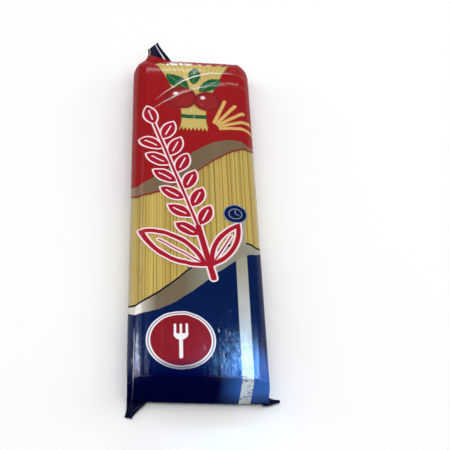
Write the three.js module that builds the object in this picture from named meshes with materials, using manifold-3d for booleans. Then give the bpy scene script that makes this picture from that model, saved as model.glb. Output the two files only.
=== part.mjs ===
// A half-kilogram flow-wrapped packet of spaghetti, lying on its back with the printed front up.
// Millimetres, +Z up. +Y runs along the strands towards the end with the raised dog-ear, +X to the right
// of somebody who looks down at the front. The origin is the centre of the back seam's underside.
// The packet is one sealed piece of film shut tight round its strands, so it is one solid.

import * as THREE from 'three';
import { mergeVertices } from 'three/addons/utils/BufferGeometryUtils.js';
import Module from 'manifold-3d';

// Driving dimensions of the wrapped bundle.
const BODY_LENGTH = 262;
const BODY_WIDTH = 77;
const BODY_HEIGHT = 24;
const SEAL_THICKNESS = 0.8;
const SEAL_DEPTH = 13;

// The seam and the folded seal sink this deep into the bundle's underside, so that they join it.
const SEAL_SINK = 0.1;

// The long edges of the bundle are round: a wide radius above, a tighter one where it rests.
// Where the bundle is low they take no more than a share of its height.
const TOP_CORNER = 11;
const TOP_CORNER_SHARE = 0.52;
const BASE_CORNER = 8;
const BASE_CORNER_SHARE = 0.4;
const CROWN = 1.5;

// The near end drops steeply to a seal line just above the table.
const NEAR_RUN = 4;
const NEAR_SEAL_TOP = 3.6;
const NEAR_SEAL_BASE = 1.6;
const NEAR_TUCK = 2.5;
const NEAR_STEEPNESS = 2.2;

// The far end, past the ends of the strands, slopes to a seal line at half height.
const FAR_RUN = 35;
const FAR_SEAL_TOP = 13.5;
const FAR_SEAL_BASE = 10.5;
const FAR_TUCK = 16;
const FAR_TUCK_STEEPNESS = 2.4;
const FAR_STEEPNESS = 3;
const FAR_ROUNDNESS = 0.8;
const FAR_CHAMFER_RUN = 13;
const FAR_CHAMFER = 6;

// Steps of the lofted body, closest together at its rounded ends and over the creases.
const ROUND_STEPS = 66;
const NEAR_STEPS = 8;
const MIDDLE_STEPS = 19;
const CREASE_STEPS = 17;
const FAR_STEPS = 8;
const CREASE_START = 62;
const CREASE_END = 113;

// Strands press long ridges into the film: [pitch, height, phase] of the waves that add up to them.
const RIDGE_WAVES = [
  [9.7, 0.2, 0.4],
  [6.1, 0.16, 2.1],
  [15.3, 0.22, 4.0],
];
const RIDGE_FADE = 22;

// The relief starts at this share of the height, on the rounded edges, and is full at the second one.
const RELIEF_START = 0.53;
const RELIEF_FULL = 0.87;

// Past the ends of the strands the film folds into two arched creases.
// Each runs along y = crest - bend * (x - middle)^2 and fades out over the last half of its reach.
const CREASES = [
  { crest: 110.3, bend: 0.0133, middle: 21, reach: 42, height: 0.7, spread: 3 },
  { crest: 98.5, bend: 0.0093, middle: 25, reach: 54, height: 0.5, spread: 3 },
];
const CREASE_FADE = 0.5;

// Seals: the near one lies folded under, the far one hangs down behind, the back seam joins them.
const TOOTH_PITCH = 2.2;
const TOOTH_DEPTH = 0.9;
const SEAM_WIDTH = 10;
const NEAR_FIN = { left: -31, right: 39 };
const FAR_FIN = { left: -20, right: 33 };
const SEAL_OVERLAP = 1.2;
const NEAR_FIN_INSET = 1.6;

// Dog-ears, where the end seals are wider than the bundle. Each is a bent flap from root to tip:
// middle points of the root, the bend and the tip, and the half-width vector at root and tip.
const EARS = [
  {
    root: [-22.3, 125, 12.4], bend: [-22.6, 134.5, 13.6], tip: [-26.4, 139.8, 19],
    rootHalf: [11, 0.8, 0], tipHalf: [3.1, 3.3, 0.5], rootThick: 3.4,
  },
  {
    root: [-31.6, -126.5, 2.6], bend: [-34.2, -132.5, 1.6], tip: [-36.9, -139.8, 0.9],
    rootHalf: [5.6, -2.6, 0], tipHalf: [1.7, -0.4, 0], rootThick: 3.2,
  },
  {
    root: [35.5, -128.3, 2.3], bend: [40.5, -128.6, 1.8], tip: [45, -128.2, 1.6],
    rootHalf: [0, -3.0, 0], tipHalf: [0.1, -0.6, 0], rootThick: 3,
  },
];
const EAR_STEPS = 7;
const EAR_ROWS = 4;

// Corners closer together than this are one corner.
const MERGE_DISTANCE = 1e-4;

const halfLength = BODY_LENGTH / 2;
const halfWidth = BODY_WIDTH / 2;
const nearEnd = -halfLength;
const farEnd = halfLength;
const flatTop = BODY_HEIGHT - CROWN;
const flatBase = SEAL_THICKNESS - SEAL_SINK;

const clamp01 = (value) => Math.min(1, Math.max(0, value));
const lerp = THREE.MathUtils.lerp;
const smooth = (value) => clamp01(value) ** 2 * (3 - 2 * clamp01(value));

// How far a place lies into a stretch that ends at the near or the far end: 0 at its start, 1 at the end.
const intoNear = (y, run) => clamp01((nearEnd + run - y) / run);
const intoFar = (y, run) => clamp01((y - farEnd + run) / run);

// The bundle's cross-section at one place along it: its base and top heights and its half-width.
function sectionAt(y) {
  const nearDrop = Math.sqrt(1 - intoNear(y, NEAR_RUN) ** NEAR_STEEPNESS);
  const farDrop = (1 - intoFar(y, FAR_RUN) ** FAR_STEEPNESS) ** FAR_ROUNDNESS;
  const nearLift = (NEAR_SEAL_BASE - flatBase) * intoNear(y, NEAR_TUCK) ** 2;
  const farLift = (FAR_SEAL_BASE - flatBase) * intoFar(y, FAR_TUCK) ** FAR_TUCK_STEEPNESS;
  return {
    y,
    top: y > 0 ? lerp(FAR_SEAL_TOP, flatTop, farDrop) : lerp(NEAR_SEAL_TOP, flatTop, nearDrop),
    base: flatBase + nearLift + farLift,
    half: halfWidth - FAR_CHAMFER * intoFar(y, FAR_CHAMFER_RUN) ** 2,
    crown: CROWN * Math.min(nearDrop, farDrop),
  };
}

// A rounded rectangle that starts at the middle of the base and goes round by way of +X.
function sectionPath({ top, base, half }) {
  const corner = Math.min(TOP_CORNER, (top - base) * TOP_CORNER_SHARE);
  const foot = Math.min(BASE_CORNER, (top - base) * BASE_CORNER_SHARE);
  const path = new THREE.Path();
  path.moveTo(0, base);
  path.lineTo(half - foot, base);
  path.absarc(half - foot, base + foot, foot, -Math.PI / 2, 0);
  path.lineTo(half, top - corner);
  path.absarc(half - corner, top - corner, corner, 0, Math.PI / 2);
  path.lineTo(corner - half, top);
  path.absarc(corner - half, top - corner, corner, Math.PI / 2, Math.PI);
  path.lineTo(-half, base + foot);
  path.absarc(foot - half, base + foot, foot, Math.PI, 1.5 * Math.PI);
  path.lineTo(0, base);
  return path;
}

function ridgeHeight(x) {
  const wave = ([pitch, height, phase]) => height * Math.sin((x / pitch) * 2 * Math.PI + phase);
  return RIDGE_WAVES.reduce((sum, ridge) => sum + wave(ridge), 0);
}

function creaseHeight(x, y) {
  return CREASES.reduce((sum, { crest, bend, middle, reach, height, spread }) => {
    const away = x - middle;
    const across = (y - crest + bend * away * away) / spread;
    const fade = smooth((1 - Math.abs(away) / reach) / CREASE_FADE);
    return sum + height * fade * Math.exp(-across * across);
  }, 0);
}

// The film's relief is strongest on the front and fades out round the sides and towards the ends.
function relief(edge, section) {
  const heightShare = (edge.y - section.base) / (section.top - section.base);
  const facingUp = smooth((heightShare - RELIEF_START) / (RELIEF_FULL - RELIEF_START));
  const fromEnds = smooth((halfLength - Math.abs(section.y)) / RIDGE_FADE);
  const fromSides = smooth((section.half - Math.abs(edge.x)) / TOP_CORNER);
  return facingUp * (fromEnds * ridgeHeight(edge.x) + fromSides * creaseHeight(edge.x, section.y));
}

// The front is crowned: highest along its middle line and level with the rounded edges at its sides.
function crownHeight(edge, section) {
  const onFront = edge.y > (section.top + section.base) / 2;
  return onFront ? section.crown * Math.max(0, 1 - (edge.x / section.half) ** 2) : 0;
}

function stations() {
  const places = [];
  const turn = (step, steps) => 1 - Math.cos((step / steps) * Math.PI / 2);
  const middleStart = nearEnd + NEAR_RUN;
  for (let i = 0; i < NEAR_STEPS; i++) places.push(nearEnd + NEAR_RUN * turn(i, NEAR_STEPS));
  for (let i = 0; i < MIDDLE_STEPS; i++) places.push(lerp(middleStart, CREASE_START, i / MIDDLE_STEPS));
  for (let i = 0; i < CREASE_STEPS; i++) places.push(lerp(CREASE_START, CREASE_END, i / CREASE_STEPS));
  for (let i = FAR_STEPS; i >= 0; i--) places.push(lerp(farEnd, CREASE_END, turn(i, FAR_STEPS)));
  return places.map(sectionAt);
}

// The lofted body is a capped cylinder of radius 1 whose rings are moved onto the sections.
// The middle of each cap stays in the middle of its section.
function bodyGeometry() {
  const sections = stations();
  const rings = sections.map((section) => sectionPath(section).getSpacedPoints(ROUND_STEPS));
  const geometry = new THREE.CylinderGeometry(1, 1, 1, ROUND_STEPS, sections.length - 1);
  const position = geometry.attributes.position;
  for (let i = 0; i < position.count; i++) {
    const ring = Math.round((position.getY(i) + 0.5) * (sections.length - 1));
    const section = sections[ring];
    const turn = Math.atan2(-position.getX(i), position.getZ(i)) / (2 * Math.PI);
    const step = Math.round((turn + 1) * ROUND_STEPS) % ROUND_STEPS;
    const edge = rings[ring][step];
    if (Math.hypot(position.getX(i), position.getZ(i)) < 0.5) {
      position.setXYZ(i, 0, section.y, (section.top + section.base) / 2);
    } else {
      const height = edge.y + crownHeight(edge, section) + relief(edge, section);
      position.setXYZ(i, edge.x, section.y, height);
    }
  }
  return geometry;
}

// A flat seal with a saw-tooth cut edge, drawn from x = left to right and from y = 0 to SEAL_DEPTH.
function finShape(left, right) {
  const shape = new THREE.Shape();
  const teeth = Math.round((right - left) / TOOTH_PITCH);
  const pitch = (right - left) / teeth;
  shape.moveTo(left, 0);
  shape.lineTo(right, 0);
  shape.lineTo(right, SEAL_DEPTH - TOOTH_DEPTH);
  for (let i = 0; i < teeth; i++) {
    shape.lineTo(right - (i + 0.5) * pitch, SEAL_DEPTH);
    shape.lineTo(right - (i + 1) * pitch, SEAL_DEPTH - TOOTH_DEPTH);
  }
  return shape;
}

function plate(shape) {
  return new THREE.ExtrudeGeometry(shape, { depth: SEAL_THICKNESS, bevelEnabled: false });
}

function nearFinGeometry() {
  return plate(finShape(NEAR_FIN.left, NEAR_FIN.right)).translate(0, nearEnd + NEAR_FIN_INSET, 0);
}

// The far fin hangs down from the seal line, its cut edge at the table.
function farFinGeometry() {
  const drop = FAR_SEAL_BASE + SEAL_OVERLAP;
  const geometry = plate(finShape(FAR_FIN.left, FAR_FIN.right));
  geometry.scale(1, drop / SEAL_DEPTH, 1);
  geometry.rotateX(-Math.PI / 2);
  return geometry.translate(0, farEnd - SEAL_THICKNESS / 2, drop);
}

// The back seam runs from the folded near seal to where the underside starts to rise.
function seamGeometry() {
  const start = nearEnd + NEAR_FIN_INSET + SEAL_DEPTH - SEAL_OVERLAP;
  const end = farEnd - FAR_TUCK + SEAL_OVERLAP;
  const geometry = new THREE.BoxGeometry(SEAM_WIDTH, end - start, SEAL_THICKNESS);
  return geometry.translate(0, (start + end) / 2, SEAL_THICKNESS / 2);
}

// A box bent along a curve from root to tip, tapering in width and thickness on the way.
function earGeometry({ root, bend, tip, rootHalf, tipHalf, rootThick }) {
  const path = new THREE.QuadraticBezierCurve3(
    new THREE.Vector3(...root), new THREE.Vector3(...bend), new THREE.Vector3(...tip));
  const geometry = new THREE.BoxGeometry(1, 1, 1, EAR_ROWS, EAR_STEPS, 1);
  const position = geometry.attributes.position;
  const start = new THREE.Vector3(...rootHalf);
  const end = new THREE.Vector3(...tipHalf);
  for (let i = 0; i < position.count; i++) {
    const along = position.getY(i) + 0.5;
    const half = start.clone().lerp(end, smooth(along));
    const normal = new THREE.Vector3().crossVectors(half, path.getTangent(along)).normalize();
    const thickness = lerp(rootThick, SEAL_THICKNESS, Math.sqrt(along));
    const point = path.getPoint(along)
      .addScaledVector(half, 2 * position.getX(i))
      .addScaledVector(normal, thickness * position.getZ(i));
    position.setXYZ(i, point.x, point.y, Math.max(0, point.z));
  }
  return geometry;
}

const wasm = await Module();
wasm.setup();

function solidFrom(geometry) {
  geometry.deleteAttribute('normal');
  geometry.deleteAttribute('uv');
  const merged = mergeVertices(geometry, MERGE_DISTANCE);
  return new wasm.Manifold(new wasm.Mesh({
    numProp: 3,
    vertProperties: new Float32Array(merged.attributes.position.array),
    triVerts: new Uint32Array(merged.index.array),
  }));
}

function geometryFrom(solid) {
  const mesh = solid.getMesh();
  const geometry = new THREE.BufferGeometry();
  geometry.setAttribute('position', new THREE.BufferAttribute(mesh.vertProperties, 3));
  geometry.setIndex(new THREE.BufferAttribute(mesh.triVerts, 1));
  geometry.computeVertexNormals();
  return geometry;
}

const printedFilm = new THREE.MeshStandardMaterial({ color: 0x8f1b1f, roughness: 0.3, metalness: 0 });

const seals = [nearFinGeometry(), farFinGeometry(), seamGeometry(), ...EARS.map(earGeometry)];
const wrapped = seals.reduce((solid, seal) => solid.add(solidFrom(seal)), solidFrom(bodyGeometry()));

const packet = new THREE.Mesh(geometryFrom(wrapped), printedFilm);
packet.name = 'packet';

const group = new THREE.Group();
group.add(packet);

export default group;
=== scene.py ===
# %% [markdown]
# A half-kilogram packet of spaghetti in flow wrap, lying on its back with the printed front up.
# The film is printed while it is flat. A flow-wrap machine then folds the web round the strands, seals it
# along the back, crimps both ends shut and cuts them off with toothed knives.
# This lesson first makes the finishes, the print among them, and then the pieces: the strands, the film
# round them, the dog-ears, the crimped ends and the back seam.

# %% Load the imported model
import math
import random
from bisect import bisect
from functools import reduce

import bmesh
import bpy
from mathutils import Matrix, Vector, noise


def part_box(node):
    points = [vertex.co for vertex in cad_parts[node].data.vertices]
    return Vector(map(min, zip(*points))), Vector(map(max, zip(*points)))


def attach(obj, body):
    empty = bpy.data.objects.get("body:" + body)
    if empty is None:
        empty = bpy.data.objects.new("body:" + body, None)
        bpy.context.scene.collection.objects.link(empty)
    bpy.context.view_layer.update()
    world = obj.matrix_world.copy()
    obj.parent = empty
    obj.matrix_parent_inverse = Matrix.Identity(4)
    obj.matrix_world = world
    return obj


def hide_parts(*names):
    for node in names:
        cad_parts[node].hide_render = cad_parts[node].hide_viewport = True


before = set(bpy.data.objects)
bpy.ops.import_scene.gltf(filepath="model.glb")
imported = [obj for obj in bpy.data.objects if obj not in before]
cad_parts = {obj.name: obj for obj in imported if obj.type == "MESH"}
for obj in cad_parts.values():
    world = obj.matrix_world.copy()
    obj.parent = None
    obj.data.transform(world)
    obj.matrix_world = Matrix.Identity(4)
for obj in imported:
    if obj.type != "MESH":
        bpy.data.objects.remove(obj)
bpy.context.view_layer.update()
random.seed(11)

# %% [markdown]
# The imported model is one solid, the film shut tight round its strands. Its sizes are named here once,
# in millimetres, because a packet is easier to think about that way than in metres.
# Everything is modelled in millimetres and made metres when a piece is finished.

# %% Sizes of the wrapped bundle
MM = 0.001
BODY_LENGTH = 262
BODY_WIDTH = 77
BODY_HEIGHT = 24
CROWN = 1.5
FLAT_BASE = 0.7
TOP_CORNER, TOP_CORNER_SHARE = 11, 0.52
BASE_CORNER, BASE_CORNER_SHARE = 8, 0.4
NEAR_RUN, NEAR_STEEPNESS, NEAR_TUCK = 4, 2.2, 2.5
NEAR_SEAL_TOP, NEAR_SEAL_BASE = 3.6, 1.6
FAR_RUN, FAR_STEEPNESS, FAR_ROUNDNESS = 35, 3, 0.8
FAR_SEAL_TOP, FAR_SEAL_BASE = 13.5, 10.5
FAR_TUCK, FAR_TUCK_STEEPNESS = 16, 2.4
FAR_CHAMFER_RUN, FAR_CHAMFER = 13, 6
PINCH_RUN = 1.0

HALF_LENGTH = BODY_LENGTH / 2
HALF_WIDTH = BODY_WIDTH / 2
FLAT_TOP = BODY_HEIGHT - CROWN
low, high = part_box("packet")
print("packed solid in mm", [round(side / MM, 1) for side in high - low])

# %% [markdown]
# The bundle has the same cross-section nearly all the way, a rectangle with round corners.
# Near its two ends the section shrinks to the line where the film is crimped shut.
# One function gives the section at any place along the pack, so film and strands always agree.

# %% The cross-section along the pack


def clamp(value):
    return min(1.0, max(0.0, value))


def smooth(value):
    return clamp(value) ** 2 * (3 - 2 * clamp(value))


def mix(a, b, share):
    return a + (b - a) * share


def into_near(y, run):
    """How far a place lies into a stretch that ends at the near end: 0 at its start, 1 at the end."""
    return clamp((run - HALF_LENGTH - y) / run)


def into_far(y, run):
    return clamp((y - HALF_LENGTH + run) / run)


def section_at(y):
    """Base height, top height, half-width and crown of the bundle at one place along it."""
    near_drop = math.sqrt(1 - into_near(y, NEAR_RUN) ** NEAR_STEEPNESS)
    far_drop = (1 - into_far(y, FAR_RUN) ** FAR_STEEPNESS) ** FAR_ROUNDNESS
    near_lift = (NEAR_SEAL_BASE - FLAT_BASE) * into_near(y, NEAR_TUCK) ** 2
    far_lift = (FAR_SEAL_BASE - FLAT_BASE) * into_far(y, FAR_TUCK) ** FAR_TUCK_STEEPNESS
    top = mix(FAR_SEAL_TOP, FLAT_TOP, far_drop) if y > 0 else mix(NEAR_SEAL_TOP, FLAT_TOP, near_drop)
    base = FLAT_BASE + near_lift + far_lift
    pinch = (into_near(y, PINCH_RUN) + into_far(y, PINCH_RUN)) ** 2
    middle = (top + base) / 2
    half = HALF_WIDTH - FAR_CHAMFER * into_far(y, FAR_CHAMFER_RUN) ** 2
    return mix(base, middle, pinch), mix(top, middle, pinch), half, CROWN * min(near_drop, far_drop)


print("section in the middle", [round(value, 2) for value in section_at(0)])

# %% [markdown]
# A point on the section is found by its step round the outline, from the middle of the base by way
# of the right side. The flat base and front take equal steps, and each side takes its own number.
# Equal steps on the base and the front let the two meet point by point where the pack is shut.

# %% Steps round the outline
FLAT_STEPS = 92
SIDE_STEPS = 26
AROUND = 2 * (FLAT_STEPS + SIDE_STEPS)


def side_point(base, top, half, corner, foot, share):
    """A place on the right side: up round the foot, straight, then round the top corner."""
    foot_arc = foot * math.pi / 2
    straight = max(0.0, top - base - foot - corner)
    walked = share * (foot_arc + straight + corner * math.pi / 2)
    if walked < foot_arc:
        angle = walked / foot
        return half - foot + foot * math.sin(angle), base + foot - foot * math.cos(angle)
    if walked <= foot_arc + straight or corner == 0:
        return half, base + foot + walked - foot_arc
    angle = (walked - foot_arc - straight) / corner
    return half - corner + corner * math.cos(angle), top - corner + corner * math.sin(angle)


def outline_point(y, step, inset=0.0):
    """x and z on the outline, or on one that lies a little inside it, as the strands do."""
    base, top, half = section_at(y)[:3]
    height = top - base
    corner = max(0.0, min(TOP_CORNER, height * TOP_CORNER_SHARE) - inset)
    foot = max(0.0, min(BASE_CORNER, height * BASE_CORNER_SHARE) - inset)
    base, top, half = base + inset, top - inset, half - inset
    from_base = AROUND - step if step > AROUND / 2 else step
    side = -1 if step > AROUND / 2 else 1
    if from_base <= FLAT_STEPS / 2:
        return side * (half - foot) * from_base / (FLAT_STEPS / 2), base
    if from_base >= FLAT_STEPS / 2 + SIDE_STEPS:
        x = (half - corner) * (AROUND / 2 - from_base) / (FLAT_STEPS / 2)
        return side * x, top
    x, z = side_point(base, top, half, corner, foot, (from_base - FLAT_STEPS / 2) / SIDE_STEPS)
    return side * x, z


print("front middle and right side", outline_point(0, AROUND / 2), outline_point(0, AROUND / 4))

# %% [markdown]
# The film is not flat. The front is slightly crowned, bunches of strands press long low ridges into it,
# and past the ends of the strands the slack film folds into two arched creases.
# The same relief moves the strands, so they stay just under the film.

# %% The relief of the front
RIDGE_WAVES = ((9.7, 0.2, 0.4), (6.1, 0.16, 2.1), (15.3, 0.22, 4.0))
RIDGE_FADE = 22
RIDGE_SHARE = 0.55
RELIEF_START, RELIEF_FULL = 0.53, 0.87
SHUT_HEIGHT = 0.01
# Each crease: the height of its arch along the pack, how it bends, its middle, its reach, its height.
CREASES = ((110.3, 0.0133, 21, 42, 0.7), (98.5, 0.0093, 25, 54, 0.5))
CREASE_SPREAD, CREASE_FADE = 3, 0.5
CREASE_EDGE, CREASE_EDGE_SPREAD = 0.45, 0.9


def ridge_height(x):
    waves = (height * math.sin(x / pitch * 2 * math.pi + phase) for pitch, height, phase in RIDGE_WAVES)
    return RIDGE_SHARE * sum(waves)


def crease_height(x, y):
    total = 0
    for crest, bend, middle, reach, height in CREASES:
        away = x - middle
        across = y - crest + bend * away * away
        fade = smooth((1 - abs(away) / reach) / CREASE_FADE)
        broad = height * math.exp(-((across / CREASE_SPREAD) ** 2))
        sharp = CREASE_EDGE * math.exp(-((across / CREASE_EDGE_SPREAD) ** 2))
        total += fade * (broad + sharp)
    return total


def lift_at(x, y, z):
    """How much higher than the plain outline the film lies at a place on it."""
    base, top, half, crown = section_at(y)
    if top - base < SHUT_HEIGHT:
        return 0
    share = (z - base) / (top - base)
    facing_up = smooth((share - RELIEF_START) / (RELIEF_FULL - RELIEF_START))
    from_ends = smooth((HALF_LENGTH - abs(y)) / RIDGE_FADE)
    from_sides = smooth((half - abs(x)) / TOP_CORNER)
    crowned = crown * max(0, 1 - (x / half) ** 2) * smooth((share - 0.5) * 2)
    return crowned + facing_up * (from_ends * ridge_height(x) + from_sides * crease_height(x, y))


print("lift at the middle", round(lift_at(0, 0, FLAT_TOP), 2), "mm")

# %% [markdown]
# Shader formulas are easier to read as sums than as lists of nodes. A Wire wraps one socket of a
# material, and each operator on it adds the Math node that does the work.
# A Finish is one material: its node() method adds any other node, with settings first, then sockets.

# %% Shader formulas


class Wire:
    """A socket of a material that can be used in sums. Every operator adds one Math node."""

    def __init__(self, finish, socket):
        self.finish = finish
        self.socket = socket

    def math(self, operation, *others, clamp=False):
        settings = {"operation": operation, "use_clamp": clamp}
        inputs = dict(enumerate((self, *others)))
        return self.finish.node("ShaderNodeMath", settings, inputs)

    def __add__(self, other):
        return self.math("ADD", other)

    def __radd__(self, other):
        return self.math("ADD", other)

    def __sub__(self, other):
        return self.math("SUBTRACT", other)

    def __rsub__(self, other):
        return self.math("MULTIPLY_ADD", -1, other)

    def __mul__(self, other):
        return self.math("MULTIPLY", other)

    def __rmul__(self, other):
        return self.math("MULTIPLY", other)

    def __truediv__(self, other):
        return self.math("DIVIDE", other)

    def __abs__(self):
        return self.math("ABSOLUTE")

    def __neg__(self):
        return self.math("MULTIPLY", -1)

    def ramp(self, gain, offset=0.0):
        """Gain times the value, plus an offset, kept between 0 and 1."""
        return self.math("MULTIPLY_ADD", gain, offset, clamp=True)


class Finish:
    """One material, with its Principled shader ready to be set by the names of its sockets."""

    def __init__(self, name, **sockets):
        self.material = bpy.data.materials.new(name)
        self.material.use_nodes = True
        self.tree = self.material.node_tree
        self.shader = self.tree.nodes["Principled BSDF"]
        self.output = self.tree.nodes["Material Output"]
        self.set(**sockets)

    def set(self, **sockets):
        """Give sockets of the shader a number, where it is the same all over, or a wire."""
        for socket, value in sockets.items():
            self.feed(self.shader.inputs[socket.replace("_", " ").title().replace("Ior", "IOR")], value)

    def feed(self, socket, value):
        if isinstance(value, Wire):
            self.tree.links.new(value.socket, socket)
        else:
            socket.default_value = value

    def node(self, kind, settings=None, inputs=None, output=0):
        made = self.tree.nodes.new(kind)
        for name, value in (settings or {}).items():
            setattr(made, name, value)
        for name, value in (inputs or {}).items():
            self.feed(made.inputs[name], value)
        return Wire(self, made.outputs[output])

    def millimetres(self):
        """x, y and z of the place on the object, in millimetres."""
        place = self.node("ShaderNodeTexCoord", output="Object")
        parts = [self.node("ShaderNodeSeparateXYZ", inputs={0: place}, output=axis) for axis in "XYZ"]
        return [part * (1 / MM) for part in parts]

    def stretched_noise(self, scale, detail):
        """Noise on the object's own place, with its own scale along each axis, from 0 to 1."""
        place = self.node("ShaderNodeTexCoord", output="Object")
        spread = self.node("ShaderNodeMapping", inputs={"Vector": place, "Scale": scale})
        return self.node("ShaderNodeTexNoise", inputs={"Vector": spread, "Scale": 1.0, "Detail": detail})

    def blend(self, mask, base, over):
        """The colour base with the colour over on it, where mask is 1."""
        return self.node("ShaderNodeMix", {"data_type": "RGBA"}, {0: mask, 6: base, 7: over}, output=2)

    def shaded(self, colour, value):
        """A colour made darker or lighter by a value, which is 1 where the colour stays."""
        return self.node("ShaderNodeHueSaturation", inputs={"Value": value, "Color": colour})

    def bump(self, height, strength, depth):
        """The shading of a relief too fine to model, up to so many millimetres deep."""
        inputs = {"Strength": strength, "Distance": depth * MM, "Height": height}
        return self.node("ShaderNodeBump", inputs=inputs)


def paint(red, green, blue):
    """A colour that is given as it looks on a screen, from 0 to 255, as light."""
    return tuple(((part / 255 + 0.055) / 1.055) ** 2.4 for part in (red, green, blue)) + (1.0,)


print("a red as light", [round(part, 3) for part in paint(145, 25, 29)])

# %% [markdown]
# Printed shapes are drawn by distance: a formula that is negative inside a shape, zero on its edge and
# positive outside, in millimetres. An image could hold the print, but it would blur close by. The edge of
# a formula stays as sharp as the print really is. Discs, strokes and leaf shapes make all the artwork.

# %% Shapes drawn by distance
EDGE = 0.15


def inside(distance, edge=EDGE):
    """A mask that is 1 inside a shape and 0 outside, with a soft edge this many millimetres to each side."""
    return distance.ramp(-0.5 / edge, 0.5)


def either(first, second):
    """A place is inside either shape where the lower distance is negative."""
    return first.math("MINIMUM", second)


def both(first, second):
    """A place is inside both shapes where the higher distance is negative."""
    return first.math("MAXIMUM", second)


def strongest(masks):
    return reduce(lambda mask, other: mask.math("MAXIMUM", other), masks)


def turned(x, y, middle, degrees):
    """A place seen from a shape's middle, along and across a direction turned from the pack's +X."""
    cosine, sine = math.cos(math.radians(degrees)), math.sin(math.radians(degrees))
    right, up = x - middle[0], y - middle[1]
    return right * cosine + up * sine, up * cosine - right * sine


def along_line(x, y, start, end):
    """A place seen from the middle of a line, along the line and across it."""
    middle = [(a + b) / 2 for a, b in zip(start, end)]
    return turned(x, y, middle, math.degrees(math.atan2(end[1] - start[1], end[0] - start[0])))


def length_of(along, across):
    return (along * along + across * across).math("SQRT")


def disc(x, y, middle, radius):
    return length_of(x - middle[0], y - middle[1]) - radius


def leaf(along, across, half_length, half_width):
    """A shape with two round sides that meet in two points: a grain or a leaf."""
    radius = (half_length**2 + half_width**2) / (2 * half_width)
    return length_of(along, abs(across) + (radius - half_width)) - radius


def stroke(x, y, start, end, half_width):
    """A straight stroke with round ends."""
    along, across = along_line(x, y, start, end)
    past_end = (abs(along) - math.dist(start, end) / 2).math("MAXIMUM", 0)
    return length_of(past_end, across) - half_width


# %% [markdown]
# The film is printed in a warm red, a deep navy blue and two metallic inks. The colours are set
# until they look as they do on the pack when this scene's lights shine on them.

# %% Colours of the print
RED, RED_LINE = paint(145, 25, 29), paint(128, 22, 22)
# The second navy is darker, as painted shade on the near end's wall.
NAVY, NAVY_SHADED, NAVY_LINE = paint(3, 25, 70), paint(0, 6, 54), paint(4, 8, 34)
# The paler edge colours of the bronze and the silver are a painted highlight on the rounded left edge.
BRONZE, BRONZE_HIGHLIGHT = paint(130, 109, 83), paint(142, 113, 92)
SILVER, SILVER_RIGHT, SILVER_HIGHLIGHT = paint(128, 115, 93), paint(160, 158, 143), paint(214, 209, 197)
STRIP, STRIP_FAR = paint(186, 188, 183), paint(162, 156, 138)
# The first colour on this line is the strip's silver where a blue reflection is painted, and the second
# paints reflections of its wrinkles.
STRIP_GLARED, STRIP_WRINKLE_REFLECTION = paint(222, 238, 250), paint(132, 150, 176)
WHITE, RING_GREY = paint(232, 226, 228), paint(128, 136, 158)
STROKE_RED, OUTLINE = paint(156, 26, 42), paint(236, 214, 222)
EMBLEM_RED = paint(128, 26, 37)
# The first colour here is white for painted highlights, the second blue for a painted reflection.
HIGHLIGHT_WHITE, GLARE_BLUE = paint(248, 246, 240), paint(60, 120, 215)
PASTA_YELLOW, PASTA_BROWN = paint(214, 184, 112), paint(150, 108, 50)
SHEAF_YELLOW, STICK_YELLOW = paint(194, 174, 104), paint(206, 166, 100)
TOMATO, TOMATO_DARK = paint(140, 36, 38), paint(98, 20, 28)
BASIL, BASIL_VEIN = paint(32, 86, 54), paint(92, 138, 92)

# %% [markdown]
# The big fields of colour meet in two long S-shaped bands that cross the front, silver on the near side of
# the clear window and bronze on its far side. Each edge is half a wave of a cosine, so its middle, its
# swing, the place of its trough and half its wave describe it. Down the pack's sides the edges lean to
# the far end.

# %% The bands across the front
# Each edge: its middle along the pack, how far it swings, where its trough lies across, and half its wave.
SILVER_LOW, SILVER_HIGH = (-62.5, 23.9, -33, 79), (-58.2, 23.2, -43, 72)
BRONZE_LOW, BRONZE_HIGH = (21.8, 21.2, -33, 71), (28, 20.8, -44, 68)
NAVY_LINE_HALF, RED_LINE_HALF = 0.75, 0.6
# Where across the pack the silver turns paler, and where both inks turn paler at the rounded left edge as a
# painted highlight.
SILVER_TURNS, SILVER_SPREAD = -1, 7
EDGE_HIGHLIGHT_FROM, EDGE_SPREAD = -28, 5
# Below this height the edges lean, by so many millimetres for each one down.
SIDE_FROM, SIDE_LEAN = 20, 0.75


def wave_edge(x, middle, swing, trough, half_wave):
    """Where an edge lies along the pack, in millimetres: nearest at its trough."""
    wave = ((x - trough) * (math.pi / half_wave)).math("COSINE")
    return wave * -swing + middle


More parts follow.
